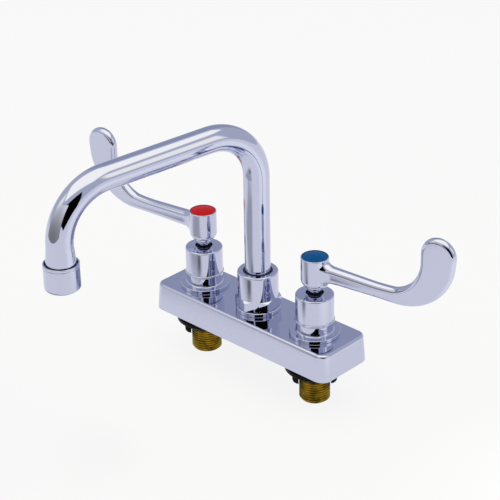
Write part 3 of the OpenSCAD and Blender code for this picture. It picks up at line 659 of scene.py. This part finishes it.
def buildButton(side):
    b = button
    rise, domeRadius = b["top"] - b["edgeTop"], b["radius"] - b["edge"]
    profile = [(0.0, b["plugLow"]), (b["plug"], b["plugLow"]), (b["plug"], b["low"])]
    profile += [(b["radius"], b["low"]), (b["radius"], b["edgeTop"] - b["edge"])]
    profile += arc(domeRadius, b["edgeTop"] - b["edge"], b["edge"], 15, 75, 3)
    profile += [(domeRadius * (1 - t), b["edgeTop"] + rise * (1 - (1 - t) ** 2))
                for t in (0.12, 0.25, 0.4, 0.6, 0.8)]
    profile += [(0.0, b["top"])]
    points, faces = turnedPoints(profile, False, sides[side]["axis"], 96)
    makePiece(side + "_button_disc", points, faces, sides[side]["button"],
              [side + "_index_button"], side + "_valve")


for side in sides:
    buildHandle(side)
    buildButton(side)
print("handles made")

# Spout: post, nut, bushing, tube, outlet and aerator
spoutTurn = -100.1
postFlange = {"low": 19.45, "high": 22.25, "radius": 15.4, "thread": 11.2, "bore": 9.7, "foot": 12.0,
              "socket": 10.85, "top": 38.0}


def buildPost():
    p = postFlange
    profile = [(p["bore"], p["foot"]), (p["socket"], p["foot"]), (p["socket"], p["low"])]
    profile += [(p["radius"] - 0.3, p["low"])]
    profile += arc(p["radius"] - 0.3, p["low"] + 0.3, 0.3, -60, 0, 3)
    profile += arc(p["radius"] - 0.6, p["high"] - 0.6, 0.6, 0, 90, 6)
    profile += [(p["thread"], p["high"]), (p["thread"], p["top"] - 0.6), (p["thread"] - 0.6, p["top"])]
    profile += [(p["bore"], p["top"])]
    points, faces = turnedPoints(profile, True)
    makePiece("spout_post_flange", points, faces, "chromeTurning", ["spout_post"], "base")


spoutNut = {"low": 22.4, "hexTop": 29.9, "top": 48.2, "flats": 27.5, "radius": 13.85, "bore": 10.0,
            "edge": 1.3, "inner": 11.35, "ledge": 40.2, "turn": 37.0, "chamfer": 1.3, "cornerRound": 1.1,
            "stepsPerFlat": 48, "chamferSteps": 10}


def buildSpoutNut():
    n = spoutNut
    corner = n["flats"] / 2 / math.cos(math.radians(30))
    collar = [(n["inner"], n["low"]), (n["radius"] - 0.4, n["low"]), (n["radius"], n["low"] + 0.4)]
    collar += [(n["radius"], mix(n["low"] + 1, n["top"] - n["edge"] - 0.4, t)) for t in (0, 0.4, 0.7, 1)]
    collar += arc(n["radius"] - n["edge"], n["top"] - n["edge"], n["edge"], 0, 90, 9)
    collar += [(n["bore"] + 0.6, n["top"])] + arc(n["bore"] + 0.5, n["top"] - 0.5, 0.5, 90, 180, 4)
    collar += [(n["bore"], n["ledge"]), (n["inner"], n["ledge"])]
    points, faces = turnedPoints(collar, True)
    nut = plainObject("spout_coupling_nut", points, faces)
    # the hexagon: rounded corners, flats that meet a turned chamfer, so each flat ends in an arc
    count, chamferSteps = 6 * n["stepsPerFlat"], n["chamferSteps"]
    height = n["hexTop"] - n["low"]
    heights = [0.0, 0.2, 0.5]
    heights += [mix(height - n["chamfer"], height, i / chamferSteps) for i in range(chamferSteps + 1)]
    cornerAt = corner - n["cornerRound"] / math.cos(math.pi / 6)
    roundEnds = math.atan2(n["cornerRound"] / 2, cornerAt + n["cornerRound"] * math.cos(math.pi / 6))
    loops = []
    for h in heights:
        above = max(h - heights[3], 0) / n["chamfer"]
        limit = min(mix(corner + 0.2, n["radius"], above), corner - 0.5 + h)
        loop = []
        for i in range(count):
            a = 2 * math.pi * i / count
            local = (a + math.pi / 6) % (math.pi / 3) - math.pi / 6
            if abs(local) < roundEnds:
                aside = cornerAt * math.sin(local)
                r = cornerAt * math.cos(local) + math.sqrt(n["cornerRound"] ** 2 - aside ** 2)
            else:
                r = n["flats"] / 2 / math.cos(math.pi / 6 - abs(local))
            r = min(r, limit)
            loop.append((r * math.cos(a), r * math.sin(a), n["low"] + h))
        loops.append(loop)
    inner = [(n["inner"] * math.cos(a), n["inner"] * math.sin(a))
             for a in [2 * math.pi * i / count for i in range(count)]]
    loops = [[(x, y, n["low"]) for x, y in inner]] + loops + [[(x, y, n["hexTop"]) for x, y in inner]]
    points = [p for loop in loops for p in loop]
    faces = closedGrid(len(loops), count)
    hexagon = plainObject("hexagon", moved(points, n["turn"]), faces)
    unionWith(nut, hexagon)
    dressPiece(nut, "chromeTurning", ["spout_nut"], "base", sharpAngle=20)


bushing = {"low": 38.3, "flange": 11.1, "ledge": 40.1, "radius": 9.9, "top": 47.7, "bore": 8.8}


def buildBushing():
    b = bushing
    profile = [(b["bore"], b["low"]), (b["flange"], b["low"]), (b["flange"], b["ledge"])]
    profile += [(b["radius"], b["ledge"])]
    profile += arc(b["radius"] - 0.35, b["top"] - 0.35, 0.35, 0, 90, 4)
    profile += [(b["bore"] + 0.2, b["top"]), (b["bore"], b["top"] - 0.2)]
    points, faces = turnedPoints(profile, True)
    makePiece("spout_guide_bushing", points, faces, "acetalBlack", ["spout_bushing"], "base")


tube = {"radius": 8.75, "wall": 1.2, "low": 30.0, "corner": 154.0, "bend": 35.8, "fall": 2.2,
        "reach": 148.7, "columns": 112, "bendSteps": 48, "straightSteps": 12}


# The tube's centre line in its own plane: (distance out, height, direction angle)
def tubePath():
    t = tube
    rise, drop = math.radians(90 + t["fall"]), math.radians(90 - t["fall"])
    riseTangent, dropTangent = t["bend"] * math.tan(rise / 2), t["bend"] * math.tan(drop / 2)
    farCorner = t["corner"] - t["reach"] * math.tan(math.radians(t["fall"]))
    riseTop, dropTop = t["corner"] - riseTangent, farCorner - dropTangent
    bends, straights = t["bendSteps"], t["straightSteps"]
    path = [(0.0, mix(t["low"], riseTop, i / straights), 90.0) for i in range(straights)]
    for i in range(bends + 1):
        a = rise * i / bends
        path.append((t["bend"] * (1 - math.cos(a)), riseTop + t["bend"] * math.sin(a),
                     90 - math.degrees(a)))
    s0, z0, angle = path[-1]
    length = t["reach"] / math.cos(math.radians(t["fall"])) - riseTangent - dropTangent
    way = (math.cos(math.radians(angle)), math.sin(math.radians(angle)))
    path += [(s0 + way[0] * length * i / straights, z0 + way[1] * length * i / straights, angle)
             for i in range(1, straights)]
    for i in range(bends + 1):
        a = drop * (1 - i / bends)
        path.append((t["reach"] - t["bend"] * (1 - math.cos(a)), dropTop + t["bend"] * math.sin(a),
                     math.degrees(a) - 90))
    return path, dropTop


def buildTube():
    t = tube
    path, _ = tubePath()
    points = []
    walls = [(t["radius"], path), (t["radius"] - t["wall"], list(reversed(path)))]
    for radius, way in walls:
        for s, z, angle in way:
            a = math.radians(angle)
            for k in range(t["columns"]):
                b = 2 * math.pi * k / t["columns"]
                out = radius * math.cos(b)
                points.append((s - math.sin(a) * out, radius * math.sin(b), z + math.cos(a) * out))
    faces = closedGrid(2 * len(path), t["columns"])
    makePiece("spout_bent_tube", moved(points, spoutTurn), faces, "chromeTube",
              ["spout_tube"], "spout", sharpAngle=45, weighted=False)


outletAt = moved([(tube["reach"], 0.0, 0.0)], spoutTurn)[0][:2]
outlet = {"low": 93.0, "thread": 10.3, "neck": 101.0, "bore": 7.55, "flare": 0.9, "flareLow": 102.6,
          "flareHigh": 113.2, "turns": 7}


def buildOutlet():
    o = outlet
    _, top = tubePath()
    profile = [(o["bore"], o["low"]), (o["thread"], o["low"])]
    depths = (0.0, 0.3, 0.6, 0.3) * o["turns"]  # the male thread, as rings: it is hidden in the aerator
    for i, depth in enumerate(depths):
        z = mix(o["low"] + 0.4, o["neck"] - 0.6, i / (len(depths) - 1))
        profile.append((o["thread"] - depth, z))
    wide = tube["radius"] + o["flare"]
    profile += [(wide, o["neck"]), (wide, o["flareLow"] - 0.3)]
    profile += [(wide - o["flare"] * i / 8, mix(o["flareLow"], o["flareHigh"], i / 8)) for i in range(9)]
    profile += [(tube["radius"], top), (o["bore"], top)]
    points, faces = turnedPoints(profile, True, outletAt, 112)
    makePiece("spout_outlet_end", points, faces, "chromeTube", ["spout_outlet"], "spout")


aerator = {"low": 84.5, "top": 102.2, "radius": 11.5, "edge": 2.0, "lip": 8.6, "lipThick": 1.4,
           "inner": 10.45, "groove": 0.22, "grooveDrop": 1.75, "topEdge": 0.45}


def buildAerator():
    a = aerator
    profile = [(a["lip"], a["low"] + 0.4), (a["lip"] + 0.3, a["low"])]
    profile += arc(a["radius"] - a["edge"], a["low"] + a["edge"], a["edge"], -90, 0, 10)
    profile += [(a["radius"], mix(a["low"] + 2.2, a["top"] - 2.1, t)) for t in (0, 0.5, 1)]
    profile += arc(a["radius"] + 0.02, a["top"] - a["grooveDrop"], a["groove"], -120, -240, 5)
    profile += [(a["radius"], a["top"] - 1.4)]
    profile += arc(a["radius"] - a["topEdge"], a["top"] - a["topEdge"], a["topEdge"], 0, 90, 6)
    profile += arc(a["inner"] + 0.2, a["top"] - 0.2, 0.2, 90, 180, 3)
    profile += [(a["inner"], a["low"] + a["lipThick"]), (a["lip"], a["low"] + a["lipThick"])]
    points, faces = turnedPoints(profile, True, outletAt)
    makePiece("aerator_outer_shell", points, faces, "chromeTurning",
              ["aerator_shell"], "spout")


buildPost()
buildSpoutNut()
buildBushing()
buildTube()
buildOutlet()
buildAerator()
print("spout made")

# Finishes of the solids that are shown as they are
solidFinishes = {
    "brass": ["waterway", "spout_swivel", "hot_cartridge", "cold_cartridge"],
    "chromeTurning": ["hot_stem", "cold_stem"],
    "rubber": ["hot_stem_wiper", "cold_stem_wiper", "body_gasket", "hot_seat_seal", "cold_seat_seal",
               "hot_stem_seals", "cold_stem_seals", "spout_seals", "aerator_washer"],
    "ceramic": ["hot_fixed_disc", "cold_fixed_disc", "hot_turning_disc", "cold_turning_disc"],
    "stainless": ["hot_handle_screw", "cold_handle_screw", "aerator_screen"],
    "acetalWhite": ["aerator_core"],
}
for finish, names in solidFinishes.items():
    for name in names:
        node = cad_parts[name]
        node.data.materials.clear()
        node.data.materials.append(paint[finish])
print("inner solids finished")

# Studio
# A light tent, as the chrome sees it. Each panel is a sheet between four corners, given as
# (azimuth, elevation) in degrees from the middle of the faucet: azimuth 0 is toward the camera and grows
# to the camera's right. "across" and "up" are stops of (place along the sheet, share of its level), and
# a card on the floor has corners (x, y) in millimetres instead. The floor cards are painted shadow and
# painted light on the floor: hidden from the camera, they show in the chrome's reflections.
studio = {
    "floor": -30.75, "floorHex": "fbfbfb", "floorSize": 12000.0, "floorGlow": 0.9, "mirroredGlow": 0.8,
    "tentHex": "c9cdd6", "middle": (0.0, -60.0, 90.0), "cameraYaw": 43.873, "divisions": 12,
    "panels": {
        "overhead_softbox": {"corners": ((-55, 38), (40, 38), (128, 44), (-118, 40)), "away": 1900.0,
                             "hex": "fffde9", "level": 1.5, "soft": 0.12},
        "right_softbox": {"corners": ((56, 8), (80, 2), (84, 46), (44, 44)), "away": 1600.0,
                          "hex": "fffde9", "level": 1.35, "soft": 0.3},
        "left_softbox": {"corners": ((-108, 14), (-62, 18), (-60, 46), (-106, 46)), "away": 1600.0,
                         "hex": "fffde9", "level": 1.2, "soft": 0.35},
        "back_curtain": {"corners": ((-146, -10), (144, -10), (146, 56), (-148, 54)), "away": 1500.0,
                         "hex": "a9afc2", "level": 1.0, "soft": 0.25},
        "dark_room": {"corners": ((-33.7, 17.0), (50.4, -24.7), (21.2, 34.6), (-34.0, 32.1)),
                      "away": 1300.0, "hex": "020202", "level": 1.0, "soft": 0.02},
        "front_left_curtain": {"corners": ((-90, -5), (-14, -5.7), (-16, 31.8), (-84, 29.8)), "away": 400.0,
                               "hex": "e6e4de", "level": 1.0, "soft": 0.03,
                               "across": ((0.0, 1.0), (0.5, 0.8), (0.9, 1.0), (1.0, 0.5)),
                               "up": ((0.0, 0.45), (0.3, 0.5), (0.6, 0.85), (1.0, 1.45))},
        "front_left_gap": {"corners": ((-64, 0), (-47, 0), (-49, 26), (-62, 26)), "away": 380.0,
                           "hex": "5a5c5b", "level": 1.0, "soft": 0.45},
        # Painted shadow: a grey card on the floor that darkens it, in the reflections, where the faucet's
        # own shadow falls.
        "painted_floor_shadow": {"lift": 0.4, "floorCorners": ((-175, -330), (60, -350), (30, -95), (-290, -60)),
                        "hex": "b9bbbf", "level": 1.0, "soft": 0.3},
        # Painted shadow: a darker card on the floor beneath the spout's outlet, in place of the spout's cast
        # shadow.
        "painted_spout_shadow": {"lift": 0.8, "floorCorners": ((-66, -190), (38, -190), (38, -100), (-66, -100)),
                        "hex": "707173", "level": 1.0, "soft": 0.5},
        # Painted light: a card on the floor, brighter than white, that makes the floor to the right look
        # more brightly lit in the reflections.
        "painted_floor_light": {"lift": 0.4, "floorCorners": ((110, -40), (330, -240), (700, 330), (190, 330)),
                        "hex": "fffefa", "level": 1.12, "soft": 0.3},
    },
}


def towards(azimuth, elevation, away):
    turn = math.radians(azimuth + studio["cameraYaw"] - 90)
    rise = math.radians(elevation)
    level = away * math.cos(rise)
    offset = Vector((level * math.cos(turn), level * math.sin(turn), away * math.sin(rise)))
    return Vector(studio["middle"]) + offset


# A soft-edged sheet of light: its level follows the stops and fades to nothing at its four edges
def addPanel(name, spec):
    n = studio["divisions"]
    if "floorCorners" in spec:
        corners = [Vector((x, y, studio["floor"] + spec["lift"])) for x, y in spec["floorCorners"]]
    else:
        corners = [towards(a, e, spec["away"]) for a, e in spec["corners"]]
    lowLeft, lowRight, highRight, highLeft = corners
    points = []
    for i in range(n + 1):
        for k in range(n + 1):
            points.append(lowLeft.lerp(lowRight, k / n).lerp(highLeft.lerp(highRight, k / n), i / n))
    panel = plainObject(name, points, gridFaces(n + 1, n + 1, wrap=False), merge=False)
    layer = panel.data.uv_layers.new(name="sheet")
    for loop in panel.data.loops:
        row, column = divmod(loop.vertex_index, n + 1)
        layer.data[loop.index].uv = (column / n, row / n)
    material, tree, place = newMaterial(name.replace("_", " ") + ", soft edged")
    axes = addNode(tree, "ShaderNodeSeparateXYZ", None, {0: place["UV"]})
    cover, level = [], []
    for axis, stops in (("X", spec.get("across")), ("Y", spec.get("up"))):
        fromEdge = addNode(tree, "ShaderNodeMath", {"operation": "PINGPONG", 1: 0.5},
                           {0: axes.outputs[axis]})
        fade = addNode(tree, "ShaderNodeMapRange",
                       {"interpolation_type": "SMOOTHSTEP", "From Max": spec["soft"]},
                       {"Value": fromEdge.outputs[0]})
        cover.append(fade.outputs["Result"])
        if stops:
            curve = addNode(tree, "ShaderNodeFloatCurve", None, {"Value": axes.outputs[axis]})
            curve.mapping.use_clip = False
            curvePoints = curve.mapping.curves[0].points
            curvePoints[0].location, curvePoints[1].location = stops[0], stops[-1]
            for stop in stops[1:-1]:
                curvePoints.new(*stop)
            curve.mapping.update()
            level.append(curve.outputs["Value"])
    share = addNode(tree, "ShaderNodeMath", {"operation": "MULTIPLY"}, {0: cover[0], 1: cover[1]})
    glow = addNode(tree, "ShaderNodeEmission",
                   {"Color": linearColour(spec["hex"]), "Strength": spec["level"]})
    if level:
        strength = addNode(tree, "ShaderNodeMath", {"operation": "MULTIPLY"}, {0: level[0], 1: level[1]})
        tree.links.new(strength.outputs[0], glow.inputs["Strength"])
    clear = addNode(tree, "ShaderNodeBsdfTransparent")
    both = addNode(tree, "ShaderNodeMixShader", None,
                   {0: share.outputs[0], 1: clear.outputs[0], 2: glow.outputs[0]})
    addNode(tree, "ShaderNodeOutputMaterial", None, {"Surface": both.outputs[0]})
    panel.data.materials.append(material)
    panel.visible_camera = False
    panel.visible_shadow = False


def buildStudio():
    s = studio
    half, z = s["floorSize"] / 2, s["floor"]
    corners = [(-half, -half, z), (half, -half, z), (half, half, z), (-half, half, z)]
    floor = plainObject("studio_floor", corners, [(0, 1, 2, 3)])
    material, tree, _ = newMaterial("matt white studio floor")
    diffuse = addNode(tree, "ShaderNodeBsdfDiffuse", {"Color": linearColour(s["floorHex"])})
    glow = addNode(tree, "ShaderNodeEmission", {"Color": linearColour(s["floorHex"]), "Strength": 1.0})
    rays = addNode(tree, "ShaderNodeLightPath")
    mirrored = addNode(tree, "ShaderNodeMath", {"operation": "MAXIMUM"},
                       {0: rays.outputs["Is Glossy Ray"], 1: rays.outputs["Is Transmission Ray"]})
    dimmed = addNode(tree, "ShaderNodeMath", {"operation": "MULTIPLY", 1: s["mirroredGlow"]},
                     {0: mirrored.outputs[0]})
    seen = addNode(tree, "ShaderNodeMath", {"operation": "MULTIPLY", 1: s["floorGlow"]},
                   {0: rays.outputs["Is Camera Ray"]})
    share = addNode(tree, "ShaderNodeMath", {"operation": "MAXIMUM"},
                    {0: seen.outputs[0], 1: dimmed.outputs[0]})
    both = addNode(tree, "ShaderNodeMixShader", None,
                   {0: share.outputs[0], 1: diffuse.outputs[0], 2: glow.outputs[0]})
    addNode(tree, "ShaderNodeOutputMaterial", None, {"Surface": both.outputs[0]})
    floor.data.materials.append(material)

    world = bpy.data.worlds.new("light tent")
    bpy.context.scene.world = world
    world.use_nodes = True
    world.node_tree.nodes.clear()
    tent = addNode(world.node_tree, "ShaderNodeBackground",
                   {"Color": linearColour(s["tentHex"]), "Strength": 1.0})
    addNode(world.node_tree, "ShaderNodeOutputWorld", None, {"Surface": tent.outputs["Background"]})
    for name, spec in s["panels"].items():
        addPanel(name, spec)


buildStudio()
print("studio lit")

# Camera
cameraSetup = {"place": (689.367, -724.228, 582.441), "yaw": 43.873, "pitch": 27.391, "roll": -1.073,
               "focal": 1693.26, "photoWidth": 500, "sensor": 36.0, "principalY": 248.0}


def buildCamera():
    c = cameraSetup
    yaw, pitch, roll = (math.radians(c[k]) for k in ("yaw", "pitch", "roll"))
    forward = Vector((-math.sin(yaw) * math.cos(pitch), math.cos(yaw) * math.cos(pitch), -math.sin(pitch)))
    right = Vector((math.cos(yaw), math.sin(yaw), 0))
    up = right.cross(forward)
    rolledRight = right * math.cos(roll) + up * math.sin(roll)
    rolledUp = up * math.cos(roll) - right * math.sin(roll)
    data = bpy.data.cameras.new("photo_camera")
    data.sensor_width = c["sensor"]
    data.lens = c["focal"] * c["sensor"] / c["photoWidth"]
    data.shift_y = (c["principalY"] - c["photoWidth"] / 2) / c["photoWidth"]
    camera = bpy.data.objects.new("photo_camera", data)
    turn = Matrix((rolledRight, rolledUp, -forward)).transposed().to_4x4()
    camera.matrix_world = Matrix.Translation([mm(v) for v in c["place"]]) @ turn
    bpy.context.scene.collection.objects.link(camera)
    bpy.context.scene.camera = camera


buildCamera()
bpy.context.scene.view_settings.view_transform = "Standard"
print("camera set")
